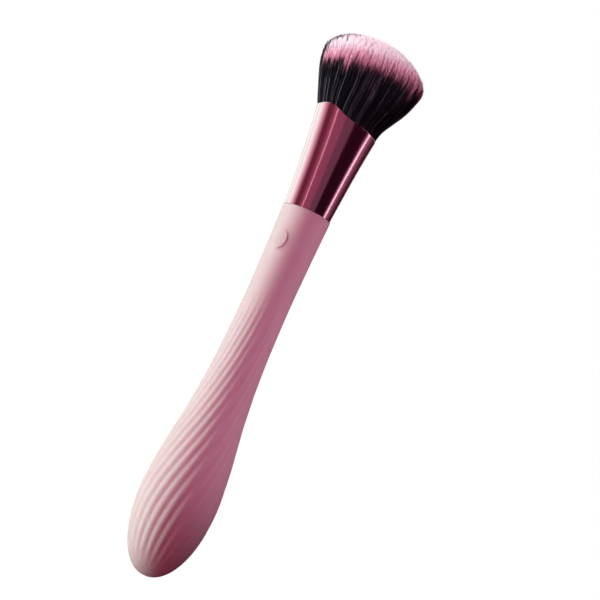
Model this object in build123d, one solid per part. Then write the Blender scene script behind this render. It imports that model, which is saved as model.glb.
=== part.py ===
"""Soft hair brush with a twisted bulb handle, lying on its side on a table.

+X runs along the brush to the tip of the hair, +Z is up, and Y is across the wide
side of the oval head. The origin is on the table, under the middle of the brush.
Sizes are in millimetres. Stations along the brush are measured from the shoulder,
where handle and ferrule meet: positive towards the hair, negative along the handle.
"""
from build123d import *

import os
from math import cos, pi, radians, sin

os.makedirs("parts", exist_ok=True)

# ---- Driving dimensions ----
HANDLE_LENGTH = 122.5  # from the bulb's end to the shoulder
BULB_RADIUS = 12.4  # over the ridges
BULB_WIDEST = -97.0
BULB_END_POWER = 2.1  # a little fuller than an ellipse
NECK_RADIUS = 7.32  # at the waist
SHOULDER_RADIUS = 7.94  # flush with the ferrule
SHOULDER_SLOPE = 0.03
SHOULDER_BEVEL = 0.2
BULB_SIDE_POINTS = ((-84.0, 11.4), (-70.0, 9.45), (-56.0, 8.1), (-42.0, 7.5))  # station, radius
WAIST_POINTS = ((-28.0, NECK_RADIUS), (-12.0, 7.6))

FLUTES = 25
FLUTE_DEPTH = 0.28  # at the widest part of the bulb
FLUTE_POWER = 1.5  # above 1 the valleys are narrower than the ridges
FLUTE_TWIST = 89.0  # degrees, from the bulb's end to the neck
FLUTE_PHASE = 77.8  # degrees, direction of one ridge at the bulb's end
FLUTES_FROM, FLUTES_TO = -121.5, -25.0
FULL_DEPTH_FROM, FULL_DEPTH_TO = -113.0, -42.0
TWIST_FROM, TWIST_TO = -117.0, -28.0

EMBLEM_STATION = -11.6
EMBLEM_ANGLE = 40.0  # degrees from +Y towards +Z
EMBLEM_LENGTH, EMBLEM_WIDTH = 6.2, 4.4
EMBLEM_HEIGHT = 0.35

SKIN_THICKNESS = 2.0  # the soft skin over the handle's core
CORE_STATIONS = (-114, -106, -97, -84, -70, -56, -42, -28, -14, 0)
CORE_NOSE = (-118.5, 4.3)  # station and radius of a point on the core's rounded end
TENON_RADIUS = 7.1
TENON_LENGTH = 12.0
GROOVE_STATIONS = (3.2, 6.4, 9.6)
GROOVE_WIDTH, GROOVE_DEPTH = 1.0, 0.45

ROD_RADIUS = 3.0
ROD_LENGTH = 82.0
ROD_FROM = -106.0
PLUG_LENGTH = 6.0
ROD_CHAMFER, PLUG_CHAMFER = 0.4, 0.5

FERRULE_LENGTH = 31.15  # nominal: the mouth's edge swings to both sides of it
MOUTH_EDGE = (  # station and y: slanted, longer on the +Y side and rounded off at that corner
    (27.4, -14.0), (29.75, -7.5), (30.75, 0.0), (32.0, 4.9), (33.6, 8.8), (33.3, 10.9), (31.6, 11.9),
)
MOUTH_HALF_WIDTH, MOUTH_HALF_HEIGHT = 11.1, 9.7
MOUTH_POWER = 2.1  # squareness of the oval: 2 is an ellipse
EVEN_FLARE = 0.78  # share of the flare that is straight; the rest comes near the mouth
FERRULE_SECTIONS = (0, 10, 20)  # stations of the sections before the mouth
FERRULE_WALL = 0.45
RIM_FILLET = 0.18

EPOXY_FROM, EPOXY_TO = 12.4, 17.0
THREAD_TURNS = 5
THREAD_WIDTH, THREAD_PITCH, THREAD_INSET = 0.42, 0.5, 0.35
THREAD_FROM = 18.2

HAIR_LENGTH = 28.65  # from the middle of the mouth to the top of the dome
HEAD_HALF_WIDTH, HEAD_HALF_HEIGHT = 17.3, BULB_RADIUS  # the head rests level with the bulb
HEAD_WIDEST = 49.5
HEAD_POWER = 2.3  # squareness of its widest section
DOME_POWER = 2.3  # fuller than an ellipse
ROOT_CLEARANCE = 0.1  # between the outer hair and the ferrule's mouth
TUFT_GAP = 0.02  # between the bending tuft and the fixed rim and roots
ROOTS_FROM, ROOTS_INSET = 27.0, 0.5  # where the tuft's sections start, inside the mouth
RIM_SIDE, RIM_SPREAD = 32.6, 0.4  # just past the rim, where the hair swells over it
ROOT_SLOPE = 0.1
WIDE_SIDE_POINTS = ((37.6, 13.1), (42.7, 15.5))  # stations and half widths up the wide side
FLAT_SIDE_POINTS = ((39.5, 11.3),)  # the same up the flat side

# ---- Places worked out from them ----
TIP_STATION = FERRULE_LENGTH + HAIR_LENGTH
PAST_MOUTH = FERRULE_LENGTH + 6  # the tube's shape runs on to here before the mouth is cut
SHOULDER_X = (HANDLE_LENGTH - TIP_STATION) / 2
AXIS_Z = BULB_RADIUS
OVERCUT = 0.2  # how far a cutting shape reaches past what it cuts


# ---- Helpers ----
def smooth(value, start, end):
    """Ease from 0 at start to 1 at end."""
    t = min(max((value - start) / (end - start), 0.0), 1.0)
    return t * t * (3 - 2 * t)


def oval_height(along, power):
    """Height of a superellipse of size 1 at a distance from its middle."""
    return (1 - along**power) ** (1 / power)


def curve_height(points, station, start_slope, end_slope):
    """Height at a station of the smooth curve through the points."""
    last = len(points) - 1
    slopes = [start_slope]
    for i in range(1, last):
        rise = points[i + 1][1] - points[i - 1][1]
        slopes.append(rise / (points[i + 1][0] - points[i - 1][0]))
    slopes.append(end_slope)
    k = max(i for i in range(last) if i == 0 or points[i][0] <= station)
    (x0, y0), (x1, y1) = points[k], points[k + 1]
    run = x1 - x0
    t = (station - x0) / run
    from_start = (1 + 2 * t) * (1 - t) ** 2 * y0 + t * (1 - t) ** 2 * run * slopes[k]
    from_end = t**2 * (3 - 2 * t) * y1 + t**2 * (t - 1) * run * slopes[k + 1]
    return from_start + from_end


def placed(shape):
    """Move a shape from the brush's own axis to where the brush lies."""
    return Pos(SHOULDER_X, 0, AXIS_Z) * shape


def ring_face(station, radius_at, point_count, twist=0.0):
    """Closed smooth outline across the axis, through evenly spaced directions."""
    points = []
    for i in range(point_count):
        angle = radians(360 * i / point_count + twist)
        radius = radius_at(i)
        points.append((station, radius * cos(angle), radius * sin(angle)))
    steps = [i / point_count for i in range(point_count + 1)]
    edge = Edge.make_spline(points, periodic=True, parameters=steps)
    return Face(Wire([edge]))


def oval_face(station, half_width, half_height, power, point_count=48):
    """Superellipse across the axis: power 2 is an ellipse, more is squarer."""
    points = []
    for i in range(point_count):
        angle = 2 * pi * i / point_count
        y = half_width * abs(cos(angle)) ** (2 / power) * (1 if cos(angle) > 0 else -1)
        z = half_height * abs(sin(angle)) ** (2 / power) * (1 if sin(angle) > 0 else -1)
        points.append((station, y, z))
    steps = [i / point_count for i in range(point_count + 1)]
    edge = Edge.make_spline(points, periodic=True, parameters=steps)
    return Face(Wire([edge]))


def rod_between(start, end, radius):
    """Round bar along the axis."""
    bar = Cylinder(radius, end - start, align=(Align.CENTER, Align.CENTER, Align.MIN))
    return Pos(start, 0, 0) * Rot(0, 90, 0) * bar


def slab_between(start, end):
    """Block that cuts a stretch out of a part."""
    size = 6 * BULB_RADIUS
    block = Box(end - start, size, size, align=(Align.MIN, Align.CENTER, Align.CENTER))
    return Pos(start, 0, 0) * block


def beyond_mouth():
    """Block that holds everything past the mouth of the ferrule, whose edge is the same above and below."""
    size = 8 * BULB_RADIUS
    edge = Spline(*MOUTH_EDGE)
    low_corner, high_corner = (MOUTH_EDGE[0][0], -size), (MOUTH_EDGE[-1][0], size)
    rest = Polyline(edge @ 1, high_corner, (size, size), (size, -size), low_corner, edge @ 0)
    return extrude(make_face(edge.edges() + rest.edges()), size, both=True)


# ---- Handle ----
def handle_radius(station):
    """Radius over the ridges: a rounded bulb end, then a smooth waist up to the shoulder."""
    if station <= BULB_WIDEST:
        along = (BULB_WIDEST - station) / (HANDLE_LENGTH + BULB_WIDEST)
        return BULB_RADIUS * oval_height(along, BULB_END_POWER)
    widest, shoulder = (BULB_WIDEST, BULB_RADIUS), (0, SHOULDER_RADIUS)
    points = [widest, *BULB_SIDE_POINTS, *WAIST_POINTS, shoulder]
    return curve_height(points, station, 0, SHOULDER_SLOPE)


def ridge_twist(station):
    """Direction of one ridge at a station, in degrees from +Y towards +Z."""
    return FLUTE_PHASE + FLUTE_TWIST * smooth(station, TWIST_FROM, TWIST_TO)


def ridge_depth(station, radius):
    """Depth of the valleys, which fade out at the bulb's end and at the neck."""
    start = smooth(station, FLUTES_FROM, FULL_DEPTH_FROM)
    end = smooth(station, FULL_DEPTH_TO, FLUTES_TO)
    return FLUTE_DEPTH * start * (1 - end) * radius / BULB_RADIUS


def handle_stations():
    """Places of the handle's cross-sections, closer together round the bulb's end."""
    end_length = HANDLE_LENGTH + BULB_WIDEST
    end_steps, neck_steps = 12, 34
    end = [BULB_WIDEST - end_length * cos(pi / 2 * (k + 0.5) / end_steps) for k in range(end_steps)]
    neck = [BULB_WIDEST * (1 - k / neck_steps) for k in range(neck_steps + 1)]
    return end + neck


def handle_body():
    """Solid handle with its twisted ridges, before it is hollowed."""
    points_per_ridge = 6
    sections = []
    for station in handle_stations():
        radius = handle_radius(station)
        depth = ridge_depth(station, radius)

        def radius_at(i, radius=radius, depth=depth):
            valley = (1 - cos(2 * pi * i / points_per_ridge)) / 2
            return radius - depth * valley**FLUTE_POWER

        count = FLUTES * points_per_ridge
        sections.append(ring_face(station, radius_at, count, ridge_twist(station)))
    return loft(sections)


def shoulder_bevel():
    """Ring cut from the handle's end where it meets the ferrule."""
    edge_radius = SHOULDER_RADIUS + OVERCUT
    profile = Polyline(
        (-SHOULDER_BEVEL - OVERCUT, edge_radius),
        (OVERCUT, SHOULDER_RADIUS - SHOULDER_BEVEL - OVERCUT),
        (OVERCUT, edge_radius),
        close=True,
    )
    return revolve(make_face(profile), Axis.X)


def emblem():
    """Plain raised oval on the side of the neck."""
    prism = extrude(Ellipse(EMBLEM_LENGTH / 2, EMBLEM_WIDTH / 2), 2 * BULB_RADIUS)
    upright = Pos(EMBLEM_STATION, 0, 0) * Rot(EMBLEM_ANGLE - 90, 0, 0) * prism
    reach = EMBLEM_LENGTH
    height = handle_radius(EMBLEM_STATION) + EMBLEM_HEIGHT
    drum = rod_between(EMBLEM_STATION - reach, EMBLEM_STATION + reach, height)
    core = rod_between(EMBLEM_STATION - reach, EMBLEM_STATION + reach, NECK_RADIUS - 0.5)
    return (upright & drum) - core


def core_radius(station):
    """Radius of the core under the skin."""
    return handle_radius(station) - SKIN_THICKNESS


def core_body():
    """Round moulded core that the skin covers, up to the shoulder."""
    tip = -HANDLE_LENGTH + SKIN_THICKNESS
    side = Spline([(station, core_radius(station)) for station in CORE_STATIONS])
    rounded_end = ThreePointArc((tip, 0), CORE_NOSE, side @ 0)
    closing = Polyline(side @ 1, (0, 0), (tip, 0))
    return revolve(make_face(rounded_end + side + closing), Axis.X)


def tenon():
    """Spigot at the core's end, with grooves that key the adhesive."""
    spigot = rod_between(0, TENON_LENGTH, TENON_RADIUS)
    for station in GROOVE_STATIONS:
        start, end = station - GROOVE_WIDTH / 2, station + GROOVE_WIDTH / 2
        ring = rod_between(start, end, TENON_RADIUS + 1)
        spigot -= ring - rod_between(start, end, TENON_RADIUS - GROOVE_DEPTH)
    return spigot


def core_bore():
    """Blind bore that takes the rod and the plug."""
    return rod_between(ROD_FROM, TENON_LENGTH, ROD_RADIUS)


def handle_skin():
    return handle_body() + emblem() - shoulder_bevel() - core_body()


def handle_core():
    return core_body() + tenon() - core_bore()


def counterweight_rod():
    rod = rod_between(ROD_FROM, ROD_FROM + ROD_LENGTH, ROD_RADIUS)
    return chamfer(rod.edges().filter_by(GeomType.CIRCLE), ROD_CHAMFER)


def core_plug():
    plug = rod_between(TENON_LENGTH - PLUG_LENGTH, TENON_LENGTH, ROD_RADIUS)
    inner_end = plug.edges().filter_by(GeomType.CIRCLE).sort_by(Axis.X)[0]
    return chamfer(inner_end, PLUG_CHAMFER)


# ---- Ferrule and what is set in it ----
def ferrule_body(inset):
    """Flared tube shape, round at the shoulder and oval at the mouth, run past the mouth."""
    sections = []
    for station in (*FERRULE_SECTIONS, FERRULE_LENGTH, PAST_MOUTH):
        along = station / FERRULE_LENGTH
        flare = EVEN_FLARE * along + (1 - EVEN_FLARE) * along**3
        half_width = SHOULDER_RADIUS + (MOUTH_HALF_WIDTH - SHOULDER_RADIUS) * flare
        half_height = SHOULDER_RADIUS + (MOUTH_HALF_HEIGHT - SHOULDER_RADIUS) * along
        power = 2 + (MOUTH_POWER - 2) * along
        sections.append(oval_face(station, half_width - inset, half_height - inset, power))
    return loft(sections)


def ferrule():
    tube = ferrule_body(0) - ferrule_body(FERRULE_WALL) - beyond_mouth()
    halfway = FERRULE_LENGTH / 2
    rim = tube.edges().filter_by(lambda e: e.center().X > halfway).sort_by(Edge.length)
    return fillet(rim[-1], RIM_FILLET)


def cavity_between(start, end):
    """The inside of the ferrule from one station to another."""
    return ferrule_body(FERRULE_WALL) & slab_between(start, end)


def tenon_adhesive():
    return cavity_between(0, TENON_LENGTH) - tenon() - rod_between(0, TENON_LENGTH, ROD_RADIUS)


def epoxy_plug():
    return cavity_between(EPOXY_FROM, EPOXY_TO)


def thread_turn(station, width, inset, thickness):
    """One closed turn of thread, or the groove that it pulls into the hair."""
    body = ferrule_body(FERRULE_WALL + inset) & slab_between(station, station + width)
    return body - ferrule_body(FERRULE_WALL + inset + thickness)


def binding_thread():
    turns = []
    for i in range(THREAD_TURNS):
        station = THREAD_FROM + i * THREAD_PITCH
        turns.append(thread_turn(station, THREAD_WIDTH, THREAD_INSET, THREAD_WIDTH))
    return Compound(children=turns)


def knot_butt():
    butt = cavity_between(EPOXY_TO, PAST_MOUTH) - beyond_mouth()
    bound = (THREAD_TURNS - 1) * THREAD_PITCH + THREAD_WIDTH
    return butt - thread_turn(THREAD_FROM, bound, 0, THREAD_INSET + THREAD_WIDTH)


# ---- Hair ----
def head_half_size(station, half_size, mouth_half_size, points):
    """Half width or half height of the head, from inside the mouth to the top."""
    if station >= HEAD_WIDEST:
        along = (station - HEAD_WIDEST) / (TIP_STATION - HEAD_WIDEST)
        return half_size * oval_height(along, DOME_POWER)
    root = mouth_half_size - FERRULE_WALL - ROOT_CLEARANCE
    start, swell = (ROOTS_FROM, root - ROOTS_INSET), (RIM_SIDE, root + RIM_SPREAD)
    curve = [start, swell, *points, (HEAD_WIDEST, half_size)]
    return curve_height(curve, station, ROOT_SLOPE, 0)


def head_face(station):
    """Cross-section of the head."""
    half_width = head_half_size(station, HEAD_HALF_WIDTH, MOUTH_HALF_WIDTH, WIDE_SIDE_POINTS)
    half_height = head_half_size(station, HEAD_HALF_HEIGHT, MOUTH_HALF_HEIGHT, FLAT_SIDE_POINTS)
    squareness = 1 - smooth(station, FERRULE_LENGTH, HEAD_WIDEST)
    power = HEAD_POWER + (MOUTH_POWER - HEAD_POWER) * squareness
    return oval_face(station, half_width, half_height, power)


def bristle_tuft():
    """Free length of the hair: flares from the slanted mouth and ends in a dome."""
    flare_steps, dome_steps = 9, 9
    flare_length, dome_length = HEAD_WIDEST - ROOTS_FROM, TIP_STATION - HEAD_WIDEST
    flare = [ROOTS_FROM + flare_length * k / flare_steps for k in range(flare_steps)]
    dome = [HEAD_WIDEST + dome_length * sin(pi / 2 * k / dome_steps) for k in range(dome_steps)]
    sections = [head_face(station) for station in flare + dome]
    sections.append(Vertex(TIP_STATION, 0, 0))
    return loft(sections) & Pos(TUFT_GAP, 0, 0) * beyond_mouth()


SUBPARTS = (
    handle_skin,
    handle_core,
    counterweight_rod,
    core_plug,
    tenon_adhesive,
    ferrule,
    epoxy_plug,
    binding_thread,
    knot_butt,
    bristle_tuft,
)

for make_subpart in SUBPARTS:
    export_step(placed(make_subpart()), f"parts/{make_subpart.__name__}.step")
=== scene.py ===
"""Looks of the fade brush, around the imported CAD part.

The handle and the ferrule are the CAD nodes with their own materials. The tuft is built here as some
thousands of filaments over a closed under-mass, and bends at the mouth of the ferrule.

Lights, camera and floor are in metres, in the frame's axes. The tuft is worked out in millimetres: a station
is a distance along X from the shoulder, and an angle goes round the centre line from +Y (0) over +Z (90).
"""
import math

import bpy
import numpy as np
from mathutils import Matrix, Vector
from mathutils.bvhtree import BVHTree
from mathutils.kdtree import KDTree


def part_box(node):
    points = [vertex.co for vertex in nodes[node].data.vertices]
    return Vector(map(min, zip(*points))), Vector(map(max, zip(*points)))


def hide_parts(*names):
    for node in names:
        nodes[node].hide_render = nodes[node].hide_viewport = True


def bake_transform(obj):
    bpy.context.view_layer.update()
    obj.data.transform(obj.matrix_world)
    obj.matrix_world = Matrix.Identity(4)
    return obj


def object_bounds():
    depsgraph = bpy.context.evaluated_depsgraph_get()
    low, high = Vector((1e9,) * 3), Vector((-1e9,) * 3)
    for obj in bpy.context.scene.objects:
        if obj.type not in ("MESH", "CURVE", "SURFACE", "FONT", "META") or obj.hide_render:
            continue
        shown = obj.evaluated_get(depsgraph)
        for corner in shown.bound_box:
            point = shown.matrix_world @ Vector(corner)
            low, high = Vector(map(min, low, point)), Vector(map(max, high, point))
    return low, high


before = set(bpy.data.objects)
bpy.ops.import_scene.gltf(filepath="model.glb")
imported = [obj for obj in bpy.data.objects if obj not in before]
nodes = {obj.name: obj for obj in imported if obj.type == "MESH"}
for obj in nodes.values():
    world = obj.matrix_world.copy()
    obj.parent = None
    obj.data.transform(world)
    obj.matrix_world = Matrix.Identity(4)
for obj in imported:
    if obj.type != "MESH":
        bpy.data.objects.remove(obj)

cad_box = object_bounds()
MM = 0.001
rng = np.random.default_rng(24)

# --------------------------------------------------------------------------- places
SHOULDER_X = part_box("ferrule")[0].x              # where the handle ends and the ferrule starts
AXIS_Z = (cad_box[0].z + cad_box[1].z) / 2       # height of the brush's centre line


# --------------------------------------------------------------------------- node helpers
class Shader:
    """A material's node tree with a Principled surface."""

    def __init__(self, name):
        self.material = bpy.data.materials.new(name)
        self.material.use_nodes = True
        self.tree = self.material.node_tree
        self.surface = self.tree.nodes["Principled BSDF"]

    def node(self, kind, **settings):
        made = self.tree.nodes.new(kind)
        for key, value in settings.items():
            setattr(made, key, value)
        return made

    def set(self, **values):
        for key, value in values.items():
            self.surface.inputs[key.replace("_", " ")].default_value = value
        return self

    def link(self, output, target):
        self.tree.links.new(output, target)

    def noise(self, scale, detail=3.0, stretch=(1, 1, 1)):
        where = self.node("ShaderNodeTexCoord")
        mapping = self.node("ShaderNodeMapping")
        mapping.inputs["Scale"].default_value = stretch
        self.link(where.outputs["Object"], mapping.inputs["Vector"])
        made = self.node("ShaderNodeTexNoise")
        made.inputs["Scale"].default_value = scale
        made.inputs["Detail"].default_value = detail
        self.link(mapping.outputs["Vector"], made.inputs["Vector"])
        return made.outputs["Fac"]

    def spread(self, value, low, high, source=(0.3, 0.7)):
        """The value, from its source range to the one between low and high."""
        made = self.node("ShaderNodeMapRange")
        made.inputs["From Min"].default_value, made.inputs["From Max"].default_value = source
        made.inputs["To Min"].default_value, made.inputs["To Max"].default_value = low, high
        self.link(value, made.inputs["Value"])
        return made.outputs["Result"]

    def ramp(self, value, stops):
        made = self.node("ShaderNodeValToRGB")
        colours = made.color_ramp.elements
        while len(colours) < len(stops):
            colours.new(0.5)
        for element, (place, colour) in zip(colours, stops):
            element.position = place
            element.color = (*colour, 1)
        self.link(value, made.inputs["Fac"])
        return made.outputs["Color"]

    def bump(self, height, depth, strength):
        made = self.node("ShaderNodeBump")
        made.inputs["Strength"].default_value = strength
        made.inputs["Distance"].default_value = depth
        self.link(height, made.inputs["Height"])
        return made.outputs["Normal"]

    def colour(self, output):
        self.link(output, self.surface.inputs["Base Color"])
        return self

    def roughness(self, output):
        self.link(output, self.surface.inputs["Roughness"])
        return self

    def normal(self, output):
        self.link(output, self.surface.inputs["Normal"])
        return self

    def wear(self, *names):
        """Puts the material on CAD nodes, in place of what they have."""
        for name in names:
            nodes[name].data.materials.clear()
            nodes[name].data.materials.append(self.material)
        return self


# --------------------------------------------------------------------------- materials of the CAD nodes
skin = Shader("soft_touch_pink").set(Specular_IOR_Level=0.25, Subsurface_Weight=0.5,
                                     Subsurface_Scale=0.002, Subsurface_Radius=(1, 0.3, 0.3))
skin.colour(skin.ramp(skin.noise(220, 4), [(0.3, (0.81, 0.685, 0.655)), (0.7, (0.83, 0.71, 0.68))]))
skin.roughness(skin.spread(skin.noise(900, 2), 0.5, 0.6))
skin.normal(skin.bump(skin.noise(4200, 2), 0.00001, 0.5))
skin.wear("handle_skin")

metal = Shader("anodised_burgundy").set(Metallic=1.0, Coat_Weight=1.0, Coat_IOR=1.6, Coat_Roughness=0.08)
metal.colour(metal.ramp(metal.noise(300, 2, stretch=(0.2, 1, 1)),
                        [(0.3, (0.42, 0.045, 0.135)), (0.7, (0.45, 0.05, 0.15))]))
metal.roughness(metal.spread(metal.noise(2600, 2, stretch=(0.05, 1, 1)), 0.13, 0.18))
metal.wear("ferrule")

core = Shader("core_plastic").set(Specular_IOR_Level=0.5)
core.colour(core.ramp(core.noise(300), [(0.3, (0.66, 0.64, 0.62)), (0.7, (0.74, 0.72, 0.70))]))
core.roughness(core.spread(core.noise(800), 0.4, 0.55))
core.wear("handle_core", "core_plug")

steel = Shader("rod_steel").set(Metallic=1.0)
steel.colour(steel.ramp(steel.noise(900, stretch=(0.02, 1, 1)),
                        [(0.3, (0.56, 0.56, 0.57)), (0.7, (0.66, 0.66, 0.67))]))
steel.roughness(steel.spread(steel.noise(1500, stretch=(0.02, 1, 1)), 0.25, 0.4))
steel.wear("counterweight_rod")

glue = Shader("cured_epoxy").set(IOR=1.55)
glue.colour(glue.ramp(glue.noise(400), [(0.3, (0.48, 0.37, 0.20)), (0.7, (0.58, 0.47, 0.29))]))
glue.roughness(glue.spread(glue.noise(600), 0.12, 0.3))
glue.wear("tenon_adhesive", "epoxy_plug")

yarn = Shader("binding_yarn").set(Sheen_Weight=0.3)
yarn.colour(yarn.ramp(yarn.noise(3000, stretch=(1, 0.4, 0.4)),
                      [(0.3, (0.66, 0.63, 0.58)), (0.7, (0.82, 0.80, 0.76))]))
yarn.roughness(yarn.spread(yarn.noise(2500), 0.6, 0.85))
yarn.wear("binding_thread")


# --------------------------------------------------------------------------- camera
CAMERA_LEAN = math.radians(15.0)        # off the vertical, towards +Y
CAMERA_OFF_SQUARE = math.radians(9.0)   # off square to the brush's length, towards the handle
CAMERA_ROLL = math.radians(24.2)        # the brush's length in the picture, off the upright
CAMERA_DISTANCE = 0.75
CAMERA_LENS, CAMERA_SENSOR = 145.16, 36.0
CAMERA_OVER_X = 0.0059                  # the spot on the centre line that the camera is over
AIM_RIGHT, AIM_DOWN = 0.00820, 0.003875   # from that spot to the middle of the picture


def view_camera():
    """Looks down on the brush at a slant, with its length turned in the picture."""
    towards = Vector((-math.sin(CAMERA_OFF_SQUARE), math.cos(CAMERA_OFF_SQUARE) * math.sin(CAMERA_LEAN),
                      math.cos(CAMERA_OFF_SQUARE) * math.cos(CAMERA_LEAN)))
    spot = Vector((CAMERA_OVER_X, 0, AXIS_Z))
    length = (Vector((1, 0, 0)) - towards * towards.x).normalized()
    across = length.cross(towards)
    up = math.cos(CAMERA_ROLL) * length - math.sin(CAMERA_ROLL) * across
    right = up.cross(towards)
    aim = spot + AIM_RIGHT * right - AIM_DOWN * up
    place = spot + CAMERA_DISTANCE * towards
    back = (place - aim).normalized()
    right = up.cross(back).normalized()
    up = back.cross(right)
    camera = bpy.data.objects.new("camera", bpy.data.cameras.new("camera"))
    camera.matrix_world = Matrix.Translation(place) @ Matrix((right, up, back)).transposed().to_4x4()
    camera.data.lens, camera.data.sensor_width = CAMERA_LENS, CAMERA_SENSOR
    camera.data.clip_start, camera.data.clip_end = 0.02, 20
    bpy.context.scene.collection.objects.link(camera)
    bpy.context.scene.camera = camera


view_camera()


# --------------------------------------------------------------------------- floor, room and lights
FLOOR_RADIUS, FLOOR_CORNERS, FLOOR_DROP = 3.0, 64, 0.0002


def floor_disc():
    """A pale disc that glows a little by itself, and neither lights nor shades the brush."""
    mesh = bpy.data.meshes.new("floor")
    turns = np.linspace(0, 2 * math.pi, FLOOR_CORNERS + 1)[:-1]
    corners = [(FLOOR_RADIUS * math.cos(a), FLOOR_RADIUS * math.sin(a), -FLOOR_DROP) for a in turns]
    mesh.from_pydata(corners, [], [tuple(range(FLOOR_CORNERS))])
    disc = bpy.data.objects.new("floor", mesh)
    bpy.context.scene.collection.objects.link(disc)
    paint = bpy.data.materials.new("pale_floor")
    paint.use_nodes = True
    tree = paint.node_tree
    tree.nodes.clear()
    glow, matt, mix = (tree.nodes.new(k) for k in
                       ("ShaderNodeEmission", "ShaderNodeBsdfDiffuse", "ShaderNodeMixShader"))
    matt.inputs["Color"].default_value = (0.9, 0.9, 0.9, 1)
    mix.inputs["Fac"].default_value = 0.04
    glow.inputs["Strength"].default_value = 1.05
    tree.links.new(glow.outputs[0], mix.inputs[1])
    tree.links.new(matt.outputs[0], mix.inputs[2])
    tree.links.new(mix.outputs[0], tree.nodes.new("ShaderNodeOutputMaterial").inputs["Surface"])
    mesh.materials.append(paint)
    for ray in ("diffuse", "glossy", "transmission", "shadow"):
        setattr(disc, "visible_" + ray, False)


def room(fill):
    """White behind the object, and a weak tinted fill from all sides on matt surfaces."""
    world = bpy.data.worlds.new("room")
    bpy.context.scene.world = world
    world.use_nodes = True
    tree = world.node_tree
    backdrop = tree.nodes["Background"]
    rays, mix = tree.nodes.new("ShaderNodeLightPath"), tree.nodes.new("ShaderNodeMix")
    mix.data_type = "RGBA"
    # of a colour mix, sockets 6 and 7 are colours A and B, and output 2 is the mixed colour
    mix.inputs[6].default_value = (*fill, 1)
    mix.inputs[7].default_value = (1, 1, 1, 1)
    tree.links.new(rays.outputs["Is Camera Ray"], mix.inputs["Factor"])
    tree.links.new(mix.outputs[2], backdrop.inputs["Color"])
    world.cycles_visibility.glossy = False


def soft_box(name, place, aim, length, width, radiance, tint, lights, spread=180):
    """A rectangular light at a place, facing an aim, its length along X, for one collection of objects."""
    out = (place - aim).normalized()
    along = (Vector((1, 0, 0)) - out * out.x).normalized()
    lamp = bpy.data.lights.new(name, "AREA")
    lamp.shape, lamp.size, lamp.size_y = "RECTANGLE", length, width
    lamp.energy, lamp.color = 4 * radiance * length * width, tint     # in watts
    lamp.spread = math.radians(spread)
    box = bpy.data.objects.new(name, lamp)
    turned = Matrix((along, out.cross(along), out)).transposed()
    box.matrix_world = Matrix.Translation(place) @ turned.to_4x4()
    box.visible_camera = False
    box.light_linking.receiver_collection = lights
    bpy.context.scene.collection.objects.link(box)


def panel(name, around, width, radiance, tint, lights, reach=0.5, length=1.0, along=0.1, spread=180):
    """A soft box facing the brush's centre line, at an angle round it (0 = +Y, 90 = straight up)."""
    turn = math.radians(around)
    aim = Vector((along, 0, AXIS_Z))
    place = aim + reach * Vector((0, math.cos(turn), math.sin(turn)))
    soft_box(name, place, aim, length, width, radiance, tint, lights, spread)


MIRROR_REACH, MIRROR_LENGTH = 0.6, 1.8


def mirrored(name, start, end, radiance, tint=(1, 1, 1)):
    """A long panel that the ferrule mirrors, from one angle round the brush to another."""
    width = 2 * MIRROR_REACH * math.tan(math.radians(end - start) / 2)
    panel(name, (start + end) / 2, width, radiance, tint, METAL, reach=MIRROR_REACH, length=MIRROR_LENGTH)


# what each light falls on: the ferrule, everything else, the CAD nodes but the ferrule, the built tuft
METAL, MATT, SKIN, HAIR = (bpy.data.collections.new(n) for n in ("metal", "matt", "skin", "hair"))
METAL.objects.link(nodes["ferrule"])
for name in nodes:
    if name != "ferrule":
        MATT.objects.link(nodes[name])
        SKIN.objects.link(nodes[name])

bpy.context.scene.view_settings.view_transform = "Standard"
floor_disc()
room((0.12, 0.022, 0.042))
panel("key", -9, 0.28, 3.8, (0.80, 1, 0.96), MATT, along=-0.02)
panel("blush", 40, 0.2, 0.85, (1, 0.05, 0.28), MATT)
near = dict(reach=0.1, length=0.188, along=0.026, spread=40)     # close over the handle and ferrule
panel("lavender", 105, 0.1, 0.145, (1, 0.6, 0.97), MATT, **near)
panel("rose", 168, 0.1, 0.19, (1, 0.48, 0.65), SKIN, **near)
soft_box("dome", Vector((0.32, 0.31, 0.25)), Vector((0.09, 0, AXIS_Z)), 0.3, 0.3, 6.9, (0.97, 0.97, 1), HAIR)

# what the polished ferrule mirrors
mirrored("metal_side_low", -140, -65, 1.15, (0.88, 1, 0.92))
mirrored("metal_side", -65, -42, 2.8, (0.47, 1, 0.73))
mirrored("metal_side_top", -42, -22, 4.4, (0.35, 1, 0.63))
mirrored("metal_side_soft", -22, -10, 2.8, (0.46, 1, 0.66))
mirrored("metal_side_softer", -10, 0, 1.2, (0.66, 1, 0.75))
mirrored("metal_side_edge", 0, 8, 0.39, (1, 0.85, 0.8))
mirrored("metal_dark", 10, 26, 0.22, (1, 0.5, 0.6))
mirrored("metal_between", 26, 34, 0.33, (1, 0.78, 0.8))
mirrored("metal_between_high", 34, 40.8, 0.5, (1, 0.8, 0.8))
mirrored("metal_line", 41, 44.6, 2.2, (0.7, 1, 0.8))
mirrored("metal_top", 44.8, 77, 0.40, (1, 0.84, 0.88))
mirrored("metal_grey", 78, 102, 0.25, (0.88, 1, 1))
mirrored("metal_dim", 104, 150.5, 0.03, (1, 0.4, 0.75))
mirrored("metal_strip_side", 151, 156.5, 0.5, (0.9, 0.9, 1))
mirrored("metal_strip", 156.5, 165.5, 4.3, (0.47, 1, 0.75))
mirrored("metal_edge", 166.5, 182, 0.36)
mirrored("metal_edge_low", 184, 196, 0.17, (1, 0.5, 0.7))
mirrored("metal_edge_end", 197, 240, 0.05, (1, 0.4, 0.6))


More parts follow.
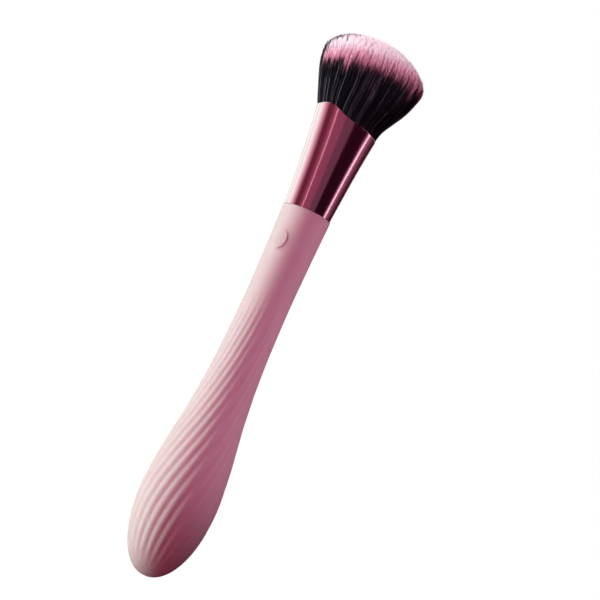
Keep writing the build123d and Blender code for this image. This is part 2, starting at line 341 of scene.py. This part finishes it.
# --------------------------------------------------------------------------- the tuft
GRID_START, GRID_END, GRID_STEP = 18.0, 62.0, 0.25
STATIONS = np.arange(GRID_START, GRID_END, GRID_STEP)
ANGLES = np.radians(np.arange(0, 360, 3.0))
PROBE = 30.0                              # from well outside the hair to the centre line
FAN_TURN = 40.0                           # station where the fan leaves the outline
FAN_EASE = 12.0                           # how slowly it levels out from there
MOUTH_EDGE = (  # station and y
    (27.4, -14.0), (29.75, -7.5), (30.75, 0.0), (32.0, 4.9), (33.6, 8.8), (33.3, 10.9), (31.6, 11.9),
)
MOUTH_MIDDLE = 30.0                       # station where the filaments' places at the mouth are taken
ROOT_DEPTH = 1.5                          # how far inside the mouth the long filaments start
DOME_TOP = 60.4                           # station just past the dome
DOME_MIDDLE = 49.5                        # station where the dome is widest
DOME_HALF = (10.3, 17.3, 12.4)            # its half lengths along X, Y and Z
TOWARDS_CAMERA = (-0.156, 0.256, 0.954)
PAINTED_SHADE_SHIFT = 13.0                             # painted shade: on the underside the dye line moves up this far, past the dome's top, so that side shows dark
SIDE_STRANDS, TIP_STRANDS = 5000, 21000
PAINTED_RIM_TRIES = 20000                       # only those just under the dome's edge are kept, as a rim of painted shade
MASS_RINGS, MASS_AROUND = 84, 240
MASS_START, MASS_END = 26.0, 59.6         # stations of the outline that the under-mass follows
MASS_REACH, MASS_LENGTH = 0.93, 0.955     # its width and length as shares of the outline's


def smooth(x, low, high):
    """0 up to the low value, 1 from the high value on, and an S curve between them."""
    t = np.clip((x - low) / (high - low), 0, 1)
    return t * t * (3 - 2 * t)


def outline_grid():
    """Distance from the centre line to the hair's outer face, by station and by angle, in mm."""
    trees = [BVHTree.FromPolygons([v.co for v in nodes[n].data.vertices],
                                  [p.vertices for p in nodes[n].data.polygons])
             for n in ("knot_butt", "bristle_tuft")]
    grid = np.zeros((len(STATIONS), len(ANGLES)))
    for i, station in enumerate(STATIONS):
        x = SHOULDER_X + station * MM
        for j, angle in enumerate(ANGLES):
            out = Vector((0, math.cos(angle), math.sin(angle)))
            start = Vector((x, 0, AXIS_Z)) + PROBE * MM * out
            for tree in trees:
                hit, _, _, distance = tree.ray_cast(start, -out, PROBE * MM)
                if hit is not None:
                    grid[i, j] = max(grid[i, j], PROBE - distance / MM)
    return grid


OUTLINE = outline_grid()


def fan_grid():
    """How far out the outermost filament would be if the dome weren't cut."""
    turn = int(round((FAN_TURN - STATIONS[0]) / GRID_STEP))
    slope = (OUTLINE[turn + 4] - OUTLINE[turn - 4]) / (8 * GRID_STEP)
    past = np.maximum(STATIONS - STATIONS[turn], 0)[:, None]
    fan = OUTLINE[turn] + slope * FAN_EASE * (1 - np.exp(-past / FAN_EASE))
    fan[:turn] = OUTLINE[:turn]
    return fan


FAN = fan_grid()


def look_up(grid, station, angle):
    """A grid's value at any stations and angles, bilinear, going round at 360 degrees."""
    row = np.clip((station - STATIONS[0]) / GRID_STEP, 0, len(STATIONS) - 1.001)
    column = (angle / (ANGLES[1] - ANGLES[0])) % len(ANGLES)
    r0, c0 = row.astype(int), column.astype(int) % len(ANGLES)
    fr, fc, c1 = row - r0, column - column.astype(int), (c0 + 1) % len(ANGLES)
    top = grid[r0, c0] * (1 - fc) + grid[r0, c1] * fc
    bottom = grid[r0 + 1, c0] * (1 - fc) + grid[r0 + 1, c1] * fc
    return top * (1 - fr) + bottom * fr


def end_station(share, angle):
    """Where a filament at that share of the fan meets the outer face."""
    stations = np.arange(FAN_TURN, DOME_TOP, 0.1)
    every = stations[None, :] + 0 * share[:, None]
    reach = share[:, None] * look_up(FAN, every, angle[:, None])
    crossed = reach >= look_up(OUTLINE, every, angle[:, None])
    return stations[np.where(crossed.any(1), crossed.argmax(1), len(stations) - 1)]


def mouth_station(y):
    """Station of the mouth's edge, as in the part."""
    stations, sides = zip(*MOUTH_EDGE)
    return np.interp(y, sides, stations)


def lean(station):
    """The hair leans a little to the short side of the ferrule, and its dome back to the long side."""
    return -0.75 * smooth(station, 33, 43) + 0.7 * smooth(station, 51, 58)


def droop(station, y):
    """The dome falls away a little more to both narrow sides than the CAD solid does."""
    return (0.4 + 0.065 * (np.sqrt(y**2 + 9) - 3) - 0.01 * y) * smooth(station, 45, 58)


def boundary(y):
    """Station where the pink starts, lower at the long side."""
    return 48.6 - 1.4 * smooth(y, -4, 3) - 3.6 * smooth(y, 6, 17)


class Clumps:
    """Gathers filaments towards the middle of their clump, which also shares its shade and dye line."""

    def __init__(self, count, seed):
        own = np.random.default_rng(seed)
        angle = own.random(count) * 2 * math.pi
        share = np.sqrt(own.random(count))
        self.dye = own.normal(0, 1, count)
        self.tone = own.random(count)
        self.spot = np.stack([share * np.cos(angle), share * np.sin(angle)], 1)
        self.tree = KDTree(count)
        for i, (a, b) in enumerate(self.spot):
            self.tree.insert((a, b, 0), i)
        self.tree.balance()

    def nearest(self, spots):
        """Which clump each spot belongs to. Spots are on the unit disc that the shares and angles make."""
        return np.array([self.tree.find((a, b, 0))[1] for a, b in spots])


def finished(name, mesh, attributes, uv):
    """An object of the mesh, smooth, with its attributes and its places on the flat by vertex."""
    mesh.polygons.foreach_set("use_smooth", np.ones(len(mesh.polygons), bool))
    for key, values in attributes.items():
        layer = mesh.attributes.new(key, "FLOAT", "POINT")
        layer.data.foreach_set("value", values.ravel().astype(np.float32))
    corner = np.empty(len(mesh.loops), np.int32)
    mesh.loops.foreach_get("vertex_index", corner)
    flat = mesh.uv_layers.new(name="OFBake")
    flat.data.foreach_set("uv", uv[corner].ravel().astype(np.float32))
    piece = bpy.data.objects.new(name, mesh)
    bpy.context.scene.collection.objects.link(piece)
    return piece


def on_the_flat(station, angle):
    """Places on the flat: round the tuft and along it."""
    return np.stack([(angle / (2 * math.pi)) % 1, (station - GRID_START) / (GRID_END - GRID_START)], -1)


def strands_mesh(name, paths, radius, sides, attributes, uv):
    """Closed tapering tubes. paths is (strands, points, 3) in mm; radius and attributes (strands, points)."""
    count, points, _ = paths.shape
    along = np.gradient(paths, axis=1)
    along /= np.linalg.norm(along, axis=2, keepdims=True)
    side = np.cross(along, (0.0, 0.31, 0.95))          # a direction that no filament runs in
    side /= np.linalg.norm(side, axis=2, keepdims=True)
    other = np.cross(along, side)
    spin = rng.random(count)[:, None, None] * 2 * math.pi
    around = np.arange(sides)[None, None, :] * 2 * math.pi / sides + spin
    ring = (np.cos(around)[..., None] * side[:, :, None, :]
            + np.sin(around)[..., None] * other[:, :, None, :])
    co = paths[:, :, None, :] + radius[:, :, None, None] * ring
    co = co.reshape(-1, 3) * MM
    base = (np.arange(count) * points * sides)[:, None, None]
    i = np.arange(points - 1)[None, :, None] * sides
    j = np.arange(sides)[None, None, :]
    k = (j + 1) % sides
    quads = np.stack([base + i + j, base + i + k, base + i + sides + k, base + i + sides + j], -1)
    quads = quads.reshape(-1, 4)
    first = (base[:, 0, 0][:, None] + np.arange(sides)[::-1][None, :])
    last = (base[:, 0, 0][:, None] + (points - 1) * sides + np.arange(sides)[None, :])
    caps = np.concatenate([first, last])
    loops = np.concatenate([quads.ravel(), caps.ravel()])
    starts = np.concatenate([np.arange(len(quads)) * 4, len(quads) * 4 + np.arange(len(caps)) * sides])
    mesh = bpy.data.meshes.new(name)
    mesh.vertices.add(len(co))
    mesh.vertices.foreach_set("co", co.ravel())
    mesh.loops.add(len(loops))
    mesh.loops.foreach_set("vertex_index", loops.astype(np.int32))
    mesh.polygons.add(len(starts))
    mesh.polygons.foreach_set("loop_start", starts.astype(np.int32))
    mesh.update(calc_edges=True)
    mesh.validate()
    attributes = {key: np.repeat(values.reshape(-1), sides) for key, values in attributes.items()}
    return finished(name, mesh, attributes, np.repeat(uv.reshape(-1, 2), sides, axis=0))


def hair_paths(share, angle, start, end, points, clumps, gather, wander):
    """Filaments of the fan from their start to their end station, gathered into clumps."""
    t = np.linspace(0, 1, points)[None, :]
    station = start[:, None] + (end - start)[:, None] * t
    spots = np.stack([share * np.cos(angle), share * np.sin(angle)], 1)
    group = clumps.nearest(spots)
    pull = gather * smooth(station, 34, 56)
    spot_now = spots[:, None, :] + (clumps.spot[group] - spots)[:, None, :] * pull[..., None]
    share_now = np.hypot(spot_now[..., 0], spot_now[..., 1])
    angle_now = np.arctan2(spot_now[..., 1], spot_now[..., 0])
    reach = share_now * look_up(FAN, station, angle_now)
    sway = wander * smooth(station, 32, 58)
    drift = (rng.normal(0, 1, (len(share), 1, 2)) * sway[..., None] * (0.4 + 0.6 * t[..., None])
             + rng.normal(0, 1, (len(share), 1, 2)) * 0.5 * sway[..., None] * np.sin(5 * t[..., None]))
    y = reach * np.cos(angle_now) + drift[..., 0] + lean(station)
    z = reach * np.sin(angle_now) + drift[..., 1]
    x = SHOULDER_X / MM + station - droop(station, y)
    return np.stack([x, y, z + AXIS_Z / MM], -1), station, group, y


def facing(station, y, z):
    """How far a spot on the dome is turned to the camera's side, less a little at both narrow sides.

    It is 0 along the middle of the dome's edge in the picture, and it is the mask of the painted shade on the
    underside. At the sides that painted shade comes over the edge.
    """
    spot = (station - DOME_MIDDLE, y, z)
    turned = sum(to * at / half**2 for to, at, half in zip(TOWARDS_CAMERA, spot, DOME_HALF))
    return turned - 0.02 * smooth(y, 4, 12) - 0.008 * smooth(-y, 0, 6)


def end_facing(share, angle, end):
    """The same for the ends of filaments."""
    reach = share * look_up(FAN, end, angle)
    return facing(end, reach * np.cos(angle), reach * np.sin(angle))


def painted_underside_shade(turned):
    """Painted shade on the underside turned away from the camera: how far the dye line moves up there, in mm.
    """
    return PAINTED_SHADE_SHIFT * smooth(0.004 - turned, 0, 0.012)


def hair_piece(name, share, angle, start, end, points, radius, taper, clumps, gather, wander, painted_shade_extra=0.0):
    """One piece of filaments, which thin from the taper's share of their length on."""
    count = len(share)
    paths, station, group, y = hair_paths(share, angle, start, end, points, clumps, gather, wander)
    t = np.linspace(0, 1, points)[None, :]
    thick = radius[:, None] * (1 - 0.65 * smooth(t, taper, 1.0))
    # painted shade: the pink pales more slowly towards -Y, the side away from the key light, so that side
    # stays a deeper rose
    above = (station - boundary(y)) * (1 - 0.35 * smooth(-y, 4, 14))
    uneven = 1.2 * clumps.dye[group][:, None] + rng.normal(0, 0.9, (count, 1))
    dye = above - uneven * (1 - 0.8 * smooth(above, 0.5, 4.5))
    # painted shade: the dye line moves up on ends turned away from the camera, and further still for the dark
    # rim under the dome's edge
    turned = end_facing(share, angle, end) + rng.normal(0, 0.003, count)
    dye = dye - painted_shade_extra - painted_underside_shade(turned)[:, None]
    tone = np.repeat(rng.random((count, 1)), points, 1)
    uv = on_the_flat(station, np.repeat(angle[:, None], points, 1))
    return strands_mesh(name, paths, thick, 3, {"dye": dye, "tone": tone}, uv)


def tuft_material(name):
    """Black turning pink with the dye, given in mm past the dye line, which painted shade moves up on the
    underside, and lighter or darker by the tone.
    """
    made = Shader(name).set(Specular_IOR_Level=0.12, Roughness=0.42)
    dye, tone = (made.node("ShaderNodeAttribute", attribute_name=key) for key in ("dye", "tone"))
    level = made.spread(dye.outputs["Fac"], 0, 1, (-2.5, 9.5))
    colour = made.ramp(level, [
        (0.0, (0.003, 0.003, 0.006)), (0.17, (0.010, 0.005, 0.010)), (0.25, (0.16, 0.045, 0.075)),
        (0.36, (0.66, 0.27, 0.37)), (0.55, (0.86, 0.47, 0.60)), (0.85, (0.96, 0.82, 0.86))])
    light = made.spread(tone.outputs["Fac"], 0.9, 1.08, (0, 1))
    mix = made.node("ShaderNodeVectorMath", operation="SCALE")
    made.link(colour, mix.inputs[0])
    made.link(light, mix.inputs["Scale"])
    # painted highlight: a few filaments are painted a lighter grey where they aren't dyed, for glints along
    # the black filaments
    pale = made.ramp(tone.outputs["Fac"], [(0.84, (0, 0, 0)), (1.0, (0.24, 0.22, 0.30))])
    painted_glint_fade = made.node("ShaderNodeVectorMath", operation="SCALE")
    made.link(pale, painted_glint_fade.inputs[0])
    made.link(made.spread(level, 1, 0, (0.17, 0.36)), painted_glint_fade.inputs["Scale"])
    add = made.node("ShaderNodeVectorMath", operation="ADD")
    made.link(mix.outputs[0], add.inputs[0])
    made.link(painted_glint_fade.outputs[0], add.inputs[1])
    return made.colour(add.outputs[0])


def mass_piece(name, clumps):
    """The closed mass of hair that shows between the outer filaments."""
    rings, around = MASS_RINGS, MASS_AROUND
    angle = np.linspace(0, 2 * math.pi, around, endpoint=False)
    followed = MASS_START + (MASS_END - MASS_START) * np.linspace(0, 1, rings) ** 0.9
    followed = followed[:, None] + 0 * angle[None, :]
    angle = angle[None, :] + 0 * followed
    reach = MASS_REACH * look_up(OUTLINE, followed, angle)
    station = MASS_START + (followed - MASS_START) * MASS_LENGTH
    y = reach * np.cos(angle) + lean(station)
    z = reach * np.sin(angle)
    co = np.stack([SHOULDER_X / MM + station - droop(station, y), y, z + AXIS_Z / MM], -1)
    spots = np.stack([0.9 * np.cos(angle).ravel(), 0.9 * np.sin(angle).ravel()], 1)
    group = clumps.nearest(spots).reshape(station.shape)
    mesh = bpy.data.meshes.new(name)
    corners = ((0, 0), (0, 1), (1, 1), (1, 0))
    faces = [tuple((ring + further) * around + (side + on) % around for further, on in corners)
             for ring in range(rings - 1) for side in range(around)]
    faces.append(tuple(range(around))[::-1])
    faces.append(tuple((rings - 1) * around + side for side in range(around)))
    mesh.from_pydata(co.reshape(-1, 3) * MM, [], faces)
    # painted shade: the under-mass's dye line also moves up where it is turned away from the camera
    dye = station - boundary(y) - 0.9 * clumps.dye[group] - painted_underside_shade(facing(station, y, z))
    tone = 0.5 + 0.2 * clumps.tone[group]
    return finished(name, mesh, {"dye": dye, "tone": tone}, on_the_flat(station, angle).reshape(-1, 2))


def side_pieces(clumps):
    """Full-length filaments of the outer layers."""
    total = SIDE_STRANDS
    angle = rng.random(total) * 2 * math.pi
    share = 1 - 0.14 * rng.random(total) ** 1.3
    root_y = share * look_up(OUTLINE, np.full(total, MOUTH_MIDDLE), angle) * np.cos(angle)
    start = mouth_station(root_y) - ROOT_DEPTH
    end = end_station(share, angle) + rng.normal(0, 0.35, total)
    return [hair_piece(f"tuft_sides_{index + 1}", share[part], angle[part], start[part], end[part], points=13,
                       radius=0.042 + 0.018 * rng.random(len(part)), taper=0.7, clumps=clumps, gather=0.5,
                       wander=0.16)
            for index, part in enumerate(np.array_split(np.arange(total), 2))]


def tip_pieces(clumps):
    """The upper lengths of the filaments that end in the dome."""
    total = TIP_STRANDS
    angle = rng.random(total) * 2 * math.pi
    share = np.sqrt(rng.random(total))
    end = end_station(share, angle) + rng.normal(0, 0.3, total)
    start = end - 5 - 4 * rng.random(total)
    return [hair_piece(f"tuft_tips_{index + 1}", share[part], angle[part], start[part], end[part], points=5,
                       radius=0.045 + 0.02 * rng.random(len(part)), taper=0.3, clumps=clumps, gather=0.4,
                       wander=0.12)
            for index, part in enumerate(np.array_split(np.argsort(rng.random(total)), 3))]


def painted_dark_rim_piece(clumps):
    """Short ends just under the dome's edge, kept black as painted shade along the far side of the dome."""
    angle = rng.random(PAINTED_RIM_TRIES) * 2 * math.pi
    share = np.sqrt(rng.random(PAINTED_RIM_TRIES))
    end = end_station(share, angle)
    turned = end_facing(share, angle, end)
    under = (turned < 0.005) & (turned > -0.02) & (end > 50)
    angle, share, end = angle[under], share[under], end[under] + 0.2 + rng.normal(0, 0.08, under.sum())
    return hair_piece("tuft_under_painted_dark_rim", share, angle, end - 4, end, points=4, radius=0.07 + 0 * share, taper=0.8,
                      clumps=clumps, gather=0.3, wander=0.1, painted_shade_extra=PAINTED_SHADE_SHIFT)


def build_tuft():
    clumps = Clumps(count=700, seed=5)
    pieces = side_pieces(clumps) + tip_pieces(clumps) + [painted_dark_rim_piece(clumps), mass_piece("tuft_core", clumps)]
    paint = tuft_material("dyed_filament")
    for piece in pieces:
        piece.data.materials.append(paint.material)
        MATT.objects.link(piece)
        HAIR.objects.link(piece)
        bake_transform(piece)
    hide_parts("bristle_tuft")
    paint.wear("knot_butt")


build_tuft()
